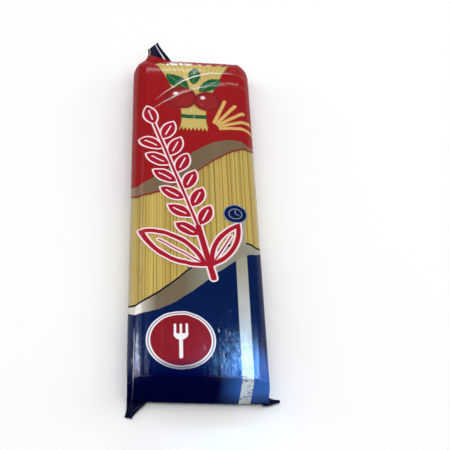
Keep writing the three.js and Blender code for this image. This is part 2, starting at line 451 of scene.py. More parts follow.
def draw_fields(finish, x, y, z):
    """The fields of colour from the near end to the far end, and masks of the window and the metal inks."""
    y = y - (SIDE_FROM - z).math("MAXIMUM", 0) * SIDE_LEAN
    edges = [wave_edge(x, *edge) for edge in (SILVER_LOW, SILVER_HIGH, BRONZE_LOW, BRONZE_HIGH)]
    past_navy, past_silver, past_window, past_bronze = [inside(edge - y) for edge in edges]
    # Painted highlight: both metallic inks turn paler towards the rounded left edge.
    edge_highlight = inside(x - EDGE_HIGHLIGHT_FROM, EDGE_SPREAD)
    silver = finish.blend(inside(SILVER_TURNS - x, SILVER_SPREAD), SILVER, SILVER_RIGHT)
    silver = finish.blend(edge_highlight, silver, SILVER_HIGHLIGHT)
    bronze = finish.blend(edge_highlight, BRONZE, BRONZE_HIGHLIGHT)
    colour = finish.blend(past_navy, NAVY, silver)
    colour = finish.blend(past_silver, colour, PASTA_YELLOW)
    colour = finish.blend(past_window, colour, bronze)
    colour = finish.blend(past_bronze, colour, RED)
    navy_line = inside(abs(y - edges[1]) - NAVY_LINE_HALF)
    red_line = inside(abs(y - edges[2]) - RED_LINE_HALF)
    colour = finish.blend(navy_line, colour, NAVY_LINE)
    colour = finish.blend(red_line, colour, RED_LINE)
    window = (past_silver - past_window) * (1 - navy_line) * (1 - red_line)
    metal = (past_navy - past_silver) + (past_window - past_bronze)
    return colour, window, metal * (1 - navy_line) * (1 - red_line)


# %% [markdown]
# A large ear of wheat runs up the front, drawn as red grains with a white outline and a white slit.
# The grains are one leaf shape, repeated along the stem by a wrap of the distance along it. The row on
# the left is moved by half a grain, as on a real ear.

# %% The ear of wheat
WHEAT_FOOT, WHEAT_TIP, STALK_FOOT = (1, -24), (-25, 60), (9, -62)
STEM_HALF, STALK_HALF = 0.8, 1.7
# Half the length and width of a grain, its tilt to the stem and how far off the stem it sits.
GRAIN_HALF, GRAIN_TILT, GRAIN_AWAY = (8.2, 3.9), 40, 6.8
GRAINS, ROW_CLIP = 6, 0.9
TOP_GRAIN, TOP_GRAIN_TURN = (-27.5, 68.5), 107
# Each long leaf: its middle, the way it points, and half its length and width.
LONG_LEAVES = (((-14, -40), 146, 22, 7.5), ((16.5, -37), 62, 17, 5.2))
LEAF_LINE_HALF, VEIN_HALF, VEIN_SHARE = 1.4, 0.5, 0.45
SLIT_HALF, SLIT_SHARE = 0.42, 0.55
OUTLINE_WIDTH = 1.0


def slit_leaf(along, across, half_length, half_width):
    """A solid grain with a slit along its middle, which shows the outline's colour."""
    slit = both(abs(across) - SLIT_HALF, abs(along) - half_length * SLIT_SHARE)
    return both(leaf(along, across, half_length, half_width), -slit)


def draw_grains(x, y):
    """The distance to both rows of grains."""
    span = math.dist(WHEAT_FOOT, WHEAT_TIP)
    pitch = span / GRAINS
    along, across = along_line(x, y, WHEAT_FOOT, WHEAT_TIP)
    on_left = across.math("GREATER_THAN", 0)
    from_foot = along + on_left * (pitch / 2) + span / 2
    cell = from_foot.math("WRAP", pitch, 0) - pitch / 2
    grain_along, grain_across = turned(cell, abs(across), (0, GRAIN_AWAY), GRAIN_TILT)
    grain = slit_leaf(grain_along, grain_across, *GRAIN_HALF)
    return both(grain, abs(from_foot - span / 2) - (span / 2 - ROW_CLIP))


def draw_wheat(x, y):
    """The distance to the whole ear: grains, the stem and its stalk, a top grain and two long leaves."""
    shapes = [
        draw_grains(x, y),
        stroke(x, y, WHEAT_FOOT, WHEAT_TIP, STEM_HALF),
        stroke(x, y, STALK_FOOT, WHEAT_FOOT, STALK_HALF),
        slit_leaf(*turned(x, y, TOP_GRAIN, TOP_GRAIN_TURN), *GRAIN_HALF),
    ]
    for middle, degrees, half_length, half_width in LONG_LEAVES:
        along, across = turned(x, y, middle, degrees)
        shapes.append(abs(leaf(along, across, half_length, half_width)) - LEAF_LINE_HALF)
        shapes.append(stroke(along, across, (-half_length, 0), (half_length * VEIN_SHARE, 0), VEIN_HALF))
    return reduce(either, shapes)


print("a grain every", round(math.dist(WHEAT_FOOT, WHEAT_TIP) / GRAINS, 1), "mm")

# %% [markdown]
# Near the far end lies a picture of food: a tied sheaf of pasta with two tomatoes and basil on it, and a
# few loose sticks. The strands of a tied sheaf follow hyperbolas, which are narrowest at the tie.

# %% The picture of the sheaf
WAIST_Y, WAIST_HALF, FLARE = 68, 7.5, 17.5
SHEAF_MIDDLE, SHEAF_HALF = 89, 32
RAGGED_WAVES, RAGGED_HEIGHT = 23, 1.2
STRAND_LINES, LINE_DARKNESS = 46, 0.7
TIE_HALF, TIE_PROUD = 1.7, 0.8
# The loose sticks fan out from one place: where, from and to which distance, and at which angles.
STICKS_FOOT, STICK_START, STICK_END = (11, 58), 6, 27
STICK_HALF, STICK_ANGLES = 1.1, (6, 22, 38, 54, 70)
# Each leaf: its middle, the way it points and half its length. Each tomato: its middle and its radius.
LEAVES = (((-10, 100), 132, 11), ((11, 98), 44, 10), ((1, 107), 84, 9))
LEAF_WIDTH_SHARE = 0.46
TOMATOES = (((-8, 85), 9.5), ((9, 82.5), 8.2))


def draw_sheaf(x, y):
    """The tied sheaf: its distance, and a mask of the dark lines between its strands."""
    away = (y - WAIST_Y) * (1 / FLARE)
    half_width = (away * away + 1).math("SQRT") * WAIST_HALF
    across = x / half_width
    ragged = (across * RAGGED_WAVES).math("SINE") * RAGGED_HEIGHT
    ends = abs(y + ragged - SHEAF_MIDDLE) - SHEAF_HALF
    sides = (abs(across) - 1) * half_width
    between = inside(0.85 - (across * STRAND_LINES).math("SINE"), 0.3)
    return both(sides, ends), between


def draw_food(finish, colour, x, y):
    for degrees in STICK_ANGLES:
        along, across = turned(x, y, STICKS_FOOT, degrees)
        stick = stroke(along, across, (STICK_START, 0), (STICK_END, 0), STICK_HALF)
        colour = finish.blend(inside(stick - 0.25), colour, PASTA_BROWN)
        colour = finish.blend(inside(stick), colour, STICK_YELLOW)
    sheaf, between = draw_sheaf(x, y)
    colour = finish.blend(inside(sheaf - 0.5), colour, PASTA_BROWN)
    colour = finish.blend(inside(sheaf), colour, SHEAF_YELLOW)
    colour = finish.blend(inside(sheaf) * between * LINE_DARKNESS, colour, PASTA_BROWN)
    tie = both(sheaf - TIE_PROUD, abs(y - WAIST_Y) - TIE_HALF)
    colour = finish.blend(inside(tie), colour, BASIL)
    for middle, degrees, half_length in LEAVES:
        along, across = turned(x, y, middle, degrees)
        shape = leaf(along, across, half_length, half_length * LEAF_WIDTH_SHARE)
        colour = finish.blend(inside(shape), colour, BASIL)
        vein = both(abs(across) - 0.3, shape + 1.0)
        colour = finish.blend(inside(vein), colour, BASIL_VEIN)
    for middle, radius in TOMATOES:
        shape = disc(x, y, middle, radius)
        colour = finish.blend(inside(shape - 0.6), colour, TOMATO_DARK)
        colour = finish.blend(inside(shape, 2.4), colour, TOMATO)
        shine = disc(x, y, (middle[0] - radius * 0.35, middle[1] + radius * 0.4), radius * 0.16)
        colour = finish.blend(inside(shine, 0.8), colour, WHITE)
    return colour


# %% [markdown]
# On the navy field lies a red disc in a white and grey ring, with a plain fork on it, and a bare silver
# strip runs down to the near end from under a small badge with a clock.

# %% The disc, the badge and the strip
EMBLEM_MIDDLE, EMBLEM_RADIUS = (-10, -104.6), 16.6
# How far each ink reaches past the disc, from the outside in.
EMBLEM_INKS = ((2.3, WHITE), (1.6, RING_GREY), (0.8, WHITE), (0.0, EMBLEM_RED))
BADGE_MIDDLE, BADGE_RADIUS, BADGE_RIM = (23.3, -12.8), 7.3, 0.7
DIAL_RADIUS, DIAL_HALF = 3.9, 0.3
HAND_ENDS, HAND_HALF = ((0, 2.8), (2, -1)), 0.28
STRIP_MIDDLE, STRIP_HALF, STRIP_TOP = 25.45, 3.25, -14
# Where along the strip its silver turns greyer, and where its painted wrinkle reflections start.
STRIP_TURNS, STRIP_SPREAD = -62, 14
WRINKLED_FROM, WRINKLE_SPREAD = -121, 4


def draw_fork(x, y):
    """A fork with three prongs that points to the far end, its middle at zero."""
    handle = stroke(x, y, (0, -11), (0, 1), 1.0)
    prongs = [stroke(x, y, (across, 3.4), (across, 10), 0.65) for across in (-3.2, 0, 3.2)]
    cup = both(disc(x, y, (0, 4), 4), y - 4.2)
    return reduce(either, [handle, *prongs, cup])


def draw_emblem(finish, colour, x, y):
    shape = disc(x, y, EMBLEM_MIDDLE, EMBLEM_RADIUS)
    for reach, ink in EMBLEM_INKS:
        colour = finish.blend(inside(shape - reach), colour, ink)
    fork = draw_fork(x - EMBLEM_MIDDLE[0], y - EMBLEM_MIDDLE[1])
    return finish.blend(inside(fork), colour, WHITE)


def draw_badge(finish, colour, x, y):
    """A badge with a clock dial on it, and the badge's mask."""
    x, y = x - BADGE_MIDDLE[0], y - BADGE_MIDDLE[1]
    away = length_of(x, y)
    badge = inside(away - BADGE_RADIUS)
    colour = finish.blend(badge, colour, RING_GREY)
    colour = finish.blend(inside(away - (BADGE_RADIUS - BADGE_RIM)), colour, NAVY)
    dial = abs(away - DIAL_RADIUS) - DIAL_HALF
    hands = [stroke(x, y, (0, 0), end, HAND_HALF) for end in HAND_ENDS]
    return finish.blend(inside(reduce(either, [dial, *hands])), colour, RING_GREY), badge


def draw_strip(x, y):
    return inside(both(abs(x - STRIP_MIDDLE) - STRIP_HALF, y - STRIP_TOP))


def strip_ink(finish, y, glare):
    """The strip's silver: greyer at its far end, paler where a blue reflection is painted, and with painted
    reflections of its wrinkles at the near end.
    """
    ink = finish.blend(inside(STRIP_TURNS - y, STRIP_SPREAD), STRIP, STRIP_FAR)
    # Paler where the blue reflection is painted.
    ink = finish.blend(glare, ink, STRIP_GLARED)
    # Painted reflections of wrinkles: darker, bluer blotches at the near end.
    wrinkles = finish.stretched_noise((440, 640, 440), 1.5).ramp(7.7, -3.96)
    return finish.blend(wrinkles * inside(y - WRINKLED_FROM, WRINKLE_SPREAD), ink, STRIP_WRINKLE_REFLECTION)


# %% [markdown]
# Handled film tells where it has been: it crumples in a few scuffed places, and film that is drawn smooth
# shines more than the rest. White lines along the two creases and the left edge of the near end, and white
# flecks where the film is crumpled, are painted highlights, and the blue at the right near corner is a
# painted reflection of the window's blue light. Each of these is a mask, strongest in the middle of a few
# places that show it on the real pack.

# %% Where the film is scuffed or glossy, and where highlights and a blue reflection are painted
# The second place is where the navy starts to darken, as painted shade of the near end.
NEAR_END_FROM, SHADED_NAVY_FROM = -128.5, -121
ALL_OVER_GLOSS, NEAR_END_GLOSS = 0.3, 0.25
# Each scuffed place: its middle, and how far it reaches across and along.
SCUFFS = (
    ((14, -108), (13, 26)),
    ((5, 73), (10, 8)),
    ((25, -126), (13, 9)),
    ((-32, -112), (6, 24)),
    ((-34, -128), (7, 6)),
)
# Each glossy patch: its middle, its reach across and along, its strength and how far down it goes.
PATCHES = (
    ((28, -116), (26, 28), 2.2, 19.5),
    ((-9, 122), (13, 7), 1.5, 14),
    ((-32, -113), (8, 26), 0.9, 18.5),
)
# The painted blue reflection at the right near corner: its middle, its reach, its strength, how much
# stronger it is on the near end, and from which height down it fades.
GLARE_MIDDLE, GLARE_REACH = (30, -126), (20, 24)
GLARE, GLARE_AT_END, GLARE_CLEARS = 0.54, 0.24, 15
# How bright the painted highlight along each crease is, and from which to which place across the pack.
CREASE_HIGHLIGHT = ((1.0, -16, 19), (0.45, -22, 14))
# The painted highlight line on the left edge of the near end: where it lies across, its middle, half its
# length.
GLINT_LINE_X, GLINT_LINE_Y, GLINT_LINE_HALF = -34.9, -113, 15


def away_from(x, y, middle, reach):
    """How far off a place's middle, as a share of its reach across and along."""
    return length_of((x - middle[0]) * (1 / reach[0]), (y - middle[1]) * (1 / reach[1]))


def scuffed_share(x, y):
    """1 in the middle of each scuffed place, falling to 0 at its reach."""
    return strongest([away_from(x, y, *scuff).ramp(-1.6, 1.6) for scuff in SCUFFS])


def painted_highlights(finish, x, y):
    """Painted highlights: white lines along the two creases and the near end's left edge, and small white
    flecks.
    """
    flecks = finish.stretched_noise((700, 170, 700), 3.0)
    masks = []
    # Painted highlights along the two creases.
    for (crest, bend, middle, *_), (strength, start, end) in zip(CREASES, CREASE_HIGHLIGHT):
        away = x - middle
        across = abs(y - crest + away * away * bend)
        within = abs(x - (start + end) / 2) - (end - start) / 2
        line = inside(across - 0.45, 0.35) * inside(within, 9)
        masks.append(line * flecks.ramp(1.8 * strength, 0.2 * strength))
    # A painted highlight line along the left edge of the near end.
    fold = inside(abs(x - GLINT_LINE_X + flecks * 0.5) - 0.1, 0.3) * inside(abs(y - GLINT_LINE_Y) - GLINT_LINE_HALF, 4)
    masks.append(fold * flecks.ramp(1.44))
    # White flecks in the scuffed places, painted glints.
    masks.append(flecks.ramp(4, -2.5) * scuffed_share(x, y) * inside(NEAR_END_FROM - y, 0.5))
    return strongest(masks)


def glared(x, y, z):
    """How strong the painted blue reflection is at the right near corner."""
    share = away_from(x, y, GLARE_MIDDLE, GLARE_REACH).ramp(-1.7, 1.7)
    at_end = inside(y - NEAR_END_FROM, 1.5)
    return share * z.ramp(1 / GLARE_CLEARS) * (GLARE + at_end * GLARE_AT_END)


def glossy(x, y, z):
    """How much the film shines: a little nearly all over, and more where it is drawn smooth."""
    on_front = inside(NEAR_END_FROM - y, 0.5)
    masks = [inside(SHADED_NAVY_FROM - y, 3) * ALL_OVER_GLOSS]
    masks.append(inside(20 - x, 12) * (1 - on_front) * NEAR_END_GLOSS)
    for middle, reach, strength, foot in PATCHES:
        share = (1 - away_from(x, y, middle, reach)).math("SMOOTH_MAX", 0, 0.3)
        masks.append(share.ramp(1.4) * on_front * inside(foot - z, 1.2) * strength)
    return strongest(masks)


# %% [markdown]
# The printed film is a glossy plastic. Where there is ink it is opaque, and where there is none it is
# clear, so the finish mixes a Principled shader with a clear one by a mask. A gloss lies over both, and
# its share follows from Fresnel's law and a second mask, because real film shines most where it is drawn
# smooth. The metallic inks get their look from the Metallic socket, driven by a third mask.

# %% The finish of the printed film
FRONT_FROM, FRONT_EDGE = 12, 0.6
CLARITY = 0.79
STRIP_METAL, INK_METAL = 0.35, 0.6
GLOSS_ROUGHNESS = 0.18


def draw_front(finish, colour, x, y, glare):
    """What is printed over the fields, and masks of the ear with its outline, the badge and the strip."""
    strip = draw_strip(x, y)
    colour = finish.blend(strip, colour, strip_ink(finish, y, glare))
    wheat = draw_wheat(x, y)
    outlined = inside(wheat - OUTLINE_WIDTH)
    colour = finish.blend(outlined, colour, OUTLINE)
    colour = finish.blend(inside(wheat), colour, STROKE_RED)
    colour = draw_food(finish, colour, x, y)
    colour = draw_emblem(finish, colour, x, y)
    colour, badge = draw_badge(finish, colour, x, y)
    return colour, outlined, badge, strip


def film_relief(finish, x, y):
    """Fine streaks along the film, small crinkles all over it, and crumples where it is scuffed."""
    streaks = finish.stretched_noise((900, 30, 900), 2.0)
    crinkle = finish.stretched_noise((420, 240, 420), 3.0)
    crumpled = finish.stretched_noise((1700, 380, 1700), 2.5) * scuffed_share(x, y)
    return finish.bump(streaks * 0.5 + crinkle * 0.5 + crumpled * 0.9, 0.5, 0.12)


def make_printed_film():
    finish = Finish("printed_film", specular_ior_level=0.0)
    x, y, z = finish.millimetres()
    glare = glared(x, y, z)
    fields, window, metal = draw_fields(finish, x, y, z)
    printed, outlined, badge, strip = draw_front(finish, fields, x, y, glare)
    front = inside(either(FRONT_FROM - z, y - NEAR_END_FROM), FRONT_EDGE)
    ink = front * strongest([outlined, badge])
    cover = strongest([ink, front * strip])
    clear = window * (1 - cover) * CLARITY
    metal = strongest([metal * (1 - front * outlined), front * strip * STRIP_METAL]) * (1 - ink)
    cloud = finish.stretched_noise((60, 16, 60), 3.0)
    colour = finish.blend(front, fields, printed)
    # Painted shade: past this place at the near end the navy turns darker, except under the strip, the badge
    # and the outlined ear.
    colour = finish.blend(inside(y - SHADED_NAVY_FROM, 5), colour, finish.blend(cover, NAVY_SHADED, colour))
    # Painted reflection: blue over the right near corner, outside the strip, the badge and the outlined ear.
    colour = finish.blend(glare * (1 - cover), colour, GLARE_BLUE)
    # Painted highlights: white lines and flecks on the front.
    colour = finish.blend(painted_highlights(finish, x, y) * front, colour, HIGHLIGHT_WHITE)
    relief = film_relief(finish, x, y)
    finish.set(base_color=finish.shaded(colour, cloud * 0.16 + 0.92), metallic=metal * INK_METAL)
    finish.set(roughness=metal * 0.2 + cloud * 0.14 + 0.13, normal=relief)
    ink_side = Wire(finish, finish.shader.outputs[0])
    see_through = finish.node("ShaderNodeBsdfTransparent", inputs={"Color": (1, 1, 1, 1)})
    body = finish.node("ShaderNodeMixShader", inputs={0: clear, 1: ink_side, 2: see_through})
    gloss = finish.node("ShaderNodeBsdfGlossy", inputs={"Roughness": GLOSS_ROUGHNESS, "Normal": relief})
    shine = finish.node("ShaderNodeFresnel", inputs={"IOR": 1.5})
    shine = shine * (clear + (1 - clear) * glossy(x, y, z))
    surface = finish.node("ShaderNodeMixShader", inputs={0: shine, 1: body, 2: gloss})
    finish.feed(finish.output.inputs["Surface"], surface)
    return finish.material


printed_film = make_printed_film()
print("printed film:", len(printed_film.node_tree.nodes), "nodes")

# %% [markdown]
# Every strand has its own tint, kept as a number on its vertices, because no two strands of dry pasta
# are quite the same yellow. The surface is slightly rough from the die, with a faint sheen, and a little
# light passes through, more of the red and the green than of the blue.

# %% The finish of the strands
PASTA_PALE, PASTA_DEEP = paint(236, 219, 126), paint(204, 176, 80)


def make_pasta():
    finish = Finish("dry_pasta", specular_ior_level=0.35, subsurface_weight=0.3)
    finish.set(subsurface_radius=(1.0, 0.85, 0.45), subsurface_scale=0.0012)
    tint = finish.node("ShaderNodeAttribute", {"attribute_name": "tint"}, output="Fac")
    grain = finish.stretched_noise((1500, 60, 1500), 3.0)
    colour = finish.shaded(finish.blend(tint, PASTA_PALE, PASTA_DEEP), grain * 0.2 + 0.9)
    finish.set(base_color=colour, roughness=grain * 0.2 + 0.32, normal=finish.bump(grain, 0.3, 0.1))
    return finish.material


dry_pasta = make_pasta()
print("dry pasta:", len(dry_pasta.node_tree.nodes), "nodes")

# %% [markdown]
# The crimped ends and the dog-ears are navy film, darker than the print's navy as painted shade. The dog-ear
# at the far end also shows two white lines of the print, and the red of the front at its root.
# A flap is bent, so its lines are drawn on the UV map that the flat sheet had before it was bent: u
# across the flap and v from its root to its tip.

# %% The finish of the seals and dog-ears
# Both seal navies are darker than the print's navy: painted shade.
SHADED_SEAL_NAVY, SHADED_SEAL_NAVY_PALE = paint(1, 6, 34), paint(3, 12, 48)
# Each white line on the far dog-ear: its place across and half its width, as shares of the flap's width.
FAR_LINES = ((0.80, 0.03), (0.13, 0.015))
FAR_RED_SHARE, RED_SLANT = 0.74, 0.45


def make_seal_film(name, lines=(), red_share=0.0):
    """Navy film with white lines at these places across it, and red up to a share of its length."""
    finish = Finish(name, specular_ior_level=0.08)
    flat = finish.node("ShaderNodeUVMap", {"uv_map": "flat"})
    across = finish.node("ShaderNodeSeparateXYZ", inputs={0: flat}, output="X")
    along = finish.node("ShaderNodeSeparateXYZ", inputs={0: flat}, output="Y")
    cloud = finish.stretched_noise((200, 200, 200), 2.0)
    colour = finish.blend(cloud, SHADED_SEAL_NAVY, SHADED_SEAL_NAVY_PALE)
    for place, half_width in lines:
        colour = finish.blend(inside(abs(across - place) - half_width, 0.012), colour, WHITE)
    if red_share:
        colour = finish.blend(inside(along + across * RED_SLANT - red_share, 0.03), colour, RED)
    crumples = finish.stretched_noise((700, 700, 700), 3.0)
    finish.set(base_color=colour, roughness=cloud * 0.2 + 0.16, normal=finish.bump(crumples, 0.4, 0.2))
    return finish.material


plain_seal = make_seal_film("seal_film")
far_seal = make_seal_film("far_ear_film", FAR_LINES, FAR_RED_SHARE)

# %% [markdown]
# A finished piece is made metres, gets smooth shading and its material, and rides on the one body.
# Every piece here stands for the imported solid, which it replaces.

# %% Finish a piece


def finish_piece(name, shape, material):
    bmesh.ops.scale(shape, vec=(MM, MM, MM), verts=shape.verts)
    for face in shape.faces:
        face.smooth = True
    mesh = bpy.data.meshes.new(name)
    shape.to_mesh(mesh)
    shape.free()
    mesh.materials.append(material)
    piece = bpy.data.objects.new(name, mesh)
    bpy.context.scene.collection.objects.link(piece)
    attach(piece, "root")
    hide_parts("packet")
    mesh.calc_loop_triangles()
    print(name, len(mesh.loop_triangles), "triangles")
    return piece


# %% [markdown]
# Spaghetti is 1.7 mm thick. The strands lie in rings, each ring one strand further inside the film
# than the last, so the outer strands follow the pack's rounded edges as they do when it is packed tight.
# A bundle could also be dropped in by a simulation, but rings fit the film exactly and take no time.
# One strand is a cone with equal ends, cut into short lengths so that it can bend a little.
# It is added once for each place, and moved there.

# %% Lay out the strands
STRAND, STRAND_SIDES, STRAND_CUTS = 1.7, 8, 9
STRAND_NEAR, STRAND_FAR = -126, 121
FILM_GAP, RING_PITCH, CLOSENESS = 0.3, 1.62, 0.97
RINGS = int((FLAT_TOP / 2 - STRAND - FILM_GAP) / RING_PITCH) + 1
END_STEP = 0.5
END_GAP, END_ZONE = 1.6, 24
# What is left to chance: a strand's place round its ring, how deep it sinks, how far it drifts from end
# to end and sways on the way, and its tint, partly shared with its neighbours.
SPREAD, SINK = 0.2, 0.45
DRIFT, SWAY, SWAY_LENGTH = 0.3, 0.2, 38
TINT, SHARED_TINT, OWN_TINT = 0.45, 0.9, 0.4
CLUSTER_WIDTH, CLUSTER_HEIGHT = 6, 2


def ring_places(inset):
    """Places of the strands of one ring, as steps round the outline."""
    steps = [step / 2 for step in range(2 * AROUND + 1)]
    points = [outline_point(0, step, inset) for step in steps]
    walked = [0.0]
    for here, there in zip(points, points[1:]):
        walked.append(walked[-1] + math.dist(here, there))
    count = int(walked[-1] / (STRAND * CLOSENESS))
    places = []
    for number in range(count):
        goal = (number + random.gauss(0, SPREAD)) / count * walked[-1] % walked[-1]
        index = max(1, bisect(walked, goal))
        share = (goal - walked[index - 1]) / max(1e-9, walked[index] - walked[index - 1])
        places.append(mix(steps[index - 1], steps[index], share))
    return places


def strand_centre(step, inset):
    x, z = outline_point(0, step, inset)
    return x, z + lift_at(x, 0, z + inset)


def has_room(x, y, z, reach):
    """True where a strand's middle at x, y and z keeps this far inside the film, round corners included."""
    base, top, half = section_at(y)[:3]
    top += lift_at(x, y, top)
    corner = min(TOP_CORNER, (top - base) * TOP_CORNER_SHARE)
    foot = min(BASE_CORNER, (top - base) * BASE_CORNER_SHARE)
    if z > top - corner:
        return math.hypot(max(0, abs(x) - half + corner), z - top + corner) < corner - reach
    if z < base + foot:
        return math.hypot(max(0, abs(x) - half + foot), base + foot - z) < foot - reach
    return abs(x) < half - reach


def strand_end(start, x, z):
    """Where a strand at x and z ends: as near the start as the film still leaves it room."""
    for count in range(round(abs(start) / END_STEP)):
        y = start - math.copysign(count * END_STEP, start)
        near_end = into_near(y, END_ZONE) + into_far(y, END_ZONE)
        if has_room(x, y, z, STRAND / 2 + FILM_GAP / 2 + END_GAP * near_end):
            return y
    return 0


def strand_template():
    """One strand, a millimetre long, that stands on z."""
    shape = bmesh.new()
    bmesh.ops.create_cone(
        shape, cap_ends=True, segments=STRAND_SIDES, radius1=STRAND / 2, radius2=STRAND / 2, depth=1
    )
    long_edges = [edge for edge in shape.edges if abs(edge.verts[0].co.z - edge.verts[1].co.z) > 0.5]
    bmesh.ops.subdivide_edges(shape, edges=long_edges, cuts=STRAND_CUTS)
    mesh = bpy.data.meshes.new("strand")
    shape.to_mesh(mesh)
    shape.free()
    return mesh


def add_strand(bundle, template, tint, x, z):
    """A strand at x and z that ends where the film leaves it room. Those at the sides are held straight."""
    near, far = strand_end(STRAND_NEAR, x, z), strand_end(STRAND_FAR, x, z)
    loose = clamp(0.5 + (HALF_WIDTH - TOP_CORNER - abs(x)) / TOP_CORNER)
    drift = loose * random.uniform(-DRIFT, DRIFT)
    sway = loose * random.uniform(-SWAY, SWAY)
    phase = random.uniform(0, 6)
    shared = noise.noise(Vector((x / CLUSTER_WIDTH, z / CLUSTER_HEIGHT, 0)))
    shade = clamp(TINT + SHARED_TINT * shared + random.uniform(-OWN_TINT, OWN_TINT))
    before = len(bundle.verts)
    bundle.from_mesh(template)
    bundle.verts.ensure_lookup_table()
    for vert in bundle.verts[before:]:
        y = mix(near, far, vert.co.z + 0.5)
        side = drift * y / HALF_LENGTH + sway * math.sin(y / SWAY_LENGTH + phase)
        vert.co = Vector((x + side + vert.co.x, y, z + vert.co.y))
        vert[tint] = shade


def build_strands():
    """All strands as one shape, and where across the pack those of the front's outer ring lie."""
    template = strand_template()
    bundle = bmesh.new()
    tint = bundle.verts.layers.float.new("tint")
    tops = []
    for ring in range(RINGS):
        inset = FILM_GAP + STRAND / 2 + ring * RING_PITCH
        for step in ring_places(inset):
            x, z = strand_centre(step, inset + SINK * random.random() ** 3)
            add_strand(bundle, template, tint, x, z)
            if ring == 0 and z > BODY_HEIGHT / 2:
                tops.append(x)
    print(RINGS, "rings,", len(bundle.verts) // len(template.vertices), "strands")
    return bundle, sorted(tops)


strands, strand_tops = build_strands()
bmesh.ops.recalc_face_normals(strands, faces=strands.faces)
finish_piece("strands", strands, dry_pasta)

# %% [markdown]
# The film starts as a flat web, a grid, as on the machine. Its columns are wrapped round the outline and
# its rows are placed along the pack, closer together where the ends turn down.
# The two long edges meet in the middle of the back and are merged, as the seal does.
# A cube with rounded edges would be quicker, but its ends couldn't close to a line as these do.

# %% Wrap the film round the bundle
NEAR_ROWS, FAR_ROWS, FAR_ROWS_START = 44, 150, 84
ALONG = 400
DRAPE = 0.06


def row_places():
    """Places along the pack of the film's rows."""
    middle_rows = ALONG - NEAR_ROWS - FAR_ROWS
    start = NEAR_RUN - HALF_LENGTH
    places = []
    for row in range(NEAR_ROWS):
        places.append(-HALF_LENGTH + NEAR_RUN * (1 - math.cos(row / NEAR_ROWS * math.pi / 2)))
    for row in range(middle_rows):
        places.append(mix(start, FAR_ROWS_START, row / middle_rows))
    for row in range(FAR_ROWS + 1):
        places.append(mix(FAR_ROWS_START, HALF_LENGTH, math.sin(row / FAR_ROWS * math.pi / 2)))
    return places


def drape(x):
    """How far the film sinks between the two strands that it hangs across."""
    index = bisect(strand_tops, x)
    away = min(abs(x - top) for top in strand_tops[max(0, index - 1):index + 1])
    return -DRAPE * smooth(away / (STRAND / 2))


def wrap_film():
    web = bmesh.new()
    bmesh.ops.create_grid(web, x_segments=AROUND, y_segments=ALONG, size=0.5)
    rows = row_places()
    for vert in web.verts:
        step = round((vert.co.x + 0.5) * AROUND)
        y = rows[round((vert.co.y + 0.5) * ALONG)]
        x, z = outline_point(y, step)
        z += lift_at(x, y, z)
        if z > BODY_HEIGHT / 2 and abs(y) < HALF_LENGTH - RIDGE_FADE:
            z += drape(x)
        vert.co = Vector((x, y, z))
    return web


film = wrap_film()
bmesh.ops.remove_doubles(film, verts=film.verts, dist=0.001)
bmesh.ops.recalc_face_normals(film, faces=film.faces)
print("film:", len(film.faces), "faces, open edges:", sum(edge.is_boundary for edge in film.edges))

# %% [markdown]
# Slack film crumples. The wrinkles are pushed out along each point's own normal: pleats that run away
# from both seals, a soft unevenness all over, and small crinkles on the front where the film is scuffed.
# Noise makes them irregular, and the same every time.

# %% Crumple the film
PLEAT_PITCHES, PLEAT_BEND = (3.1, 4.7, 7.3), 2.5
# How far the pleats reach in from a seal, and their height there.
NEAR_PLEATS, FAR_PLEATS = (20, 0.5), (30, 0.2)
SOFT_HEIGHT, CRINKLE_HEIGHT = 0.09, 0.09
HELD_ENDS = 2


def pleats(place, share, height):
    bend = PLEAT_BEND * noise.noise(Vector((place.x / 14, place.y / 18, place.z / 14)))
    wave = sum(math.sin((place.x + bend) / pitch * 2 * math.pi + pitch) for pitch in PLEAT_PITCHES)
    return height * share**1.6 * wave / len(PLEAT_PITCHES)


def scuffed(place):
    total = 0
    for (x, y), (across, along) in SCUFFS:
        total += math.exp(-(((place.x - x) / across) ** 2) - ((place.y - y) / along) ** 2)
    return clamp(total)


def crumple(place):
    near = pleats(place, into_near(place.y, NEAR_PLEATS[0]), NEAR_PLEATS[1])
    far = pleats(place, into_far(place.y, FAR_PLEATS[0]), FAR_PLEATS[1])
    soft = SOFT_HEIGHT * noise.noise(Vector((place.x / 8, place.y / 34, place.z / 8)))
    crinkle = CRINKLE_HEIGHT * noise.noise(Vector((place.x / 1.6, place.y / 2.6, place.z / 2)))
    return near + far + soft + crinkle * scuffed(place) * (place.z > BODY_HEIGHT / 2)


film.normal_update()
moves = [(vert, vert.normal * crumple(vert.co)) for vert in film.verts]
for vert, move in moves:
    held = smooth((HALF_LENGTH - abs(vert.co.y)) / HELD_ENDS)
    vert.co += move * held
print("furthest move of the film:", round(max(move.length for vert, move in moves), 2), "mm")

# %% [markdown]
# Where the end seals are wider than the bundle, their corners stick out as dog-ears and pull the film
# into a point. The film is drawn towards each ear's root, less and less with distance, as the grab
# tool of sculpt mode does.

# %% Pull the film towards the dog-ears
# Each dog-ear: the middles of its root, bend and tip, then half its width at the root and at the tip.
DOG_EARS = {
    "far_ear": ((-22.3, 125, 12.4), (-22.6, 134.5, 13.6), (-26.4, 139.8, 19), (11, 0.8, 0), (3.1, 3.3, 0.5)),
    "near_ear_left": (
        (-31.6, -126.5, 2.6), (-34.2, -132.5, 1.6), (-36.9, -139.8, 0.9), (5.6, -2.6, 0), (1.7, -0.4, 0),
    ),
    "near_ear_right": (
        (35.5, -128.3, 2.3), (40.5, -128.6, 1.8), (45, -128.2, 1.6), (0, -3.0, 0), (0.1, -0.6, 0),
    ),
}
PULL_TOWARDS, PULL_REACH, PULL_STRENGTH = 0.55, 8, 0.35


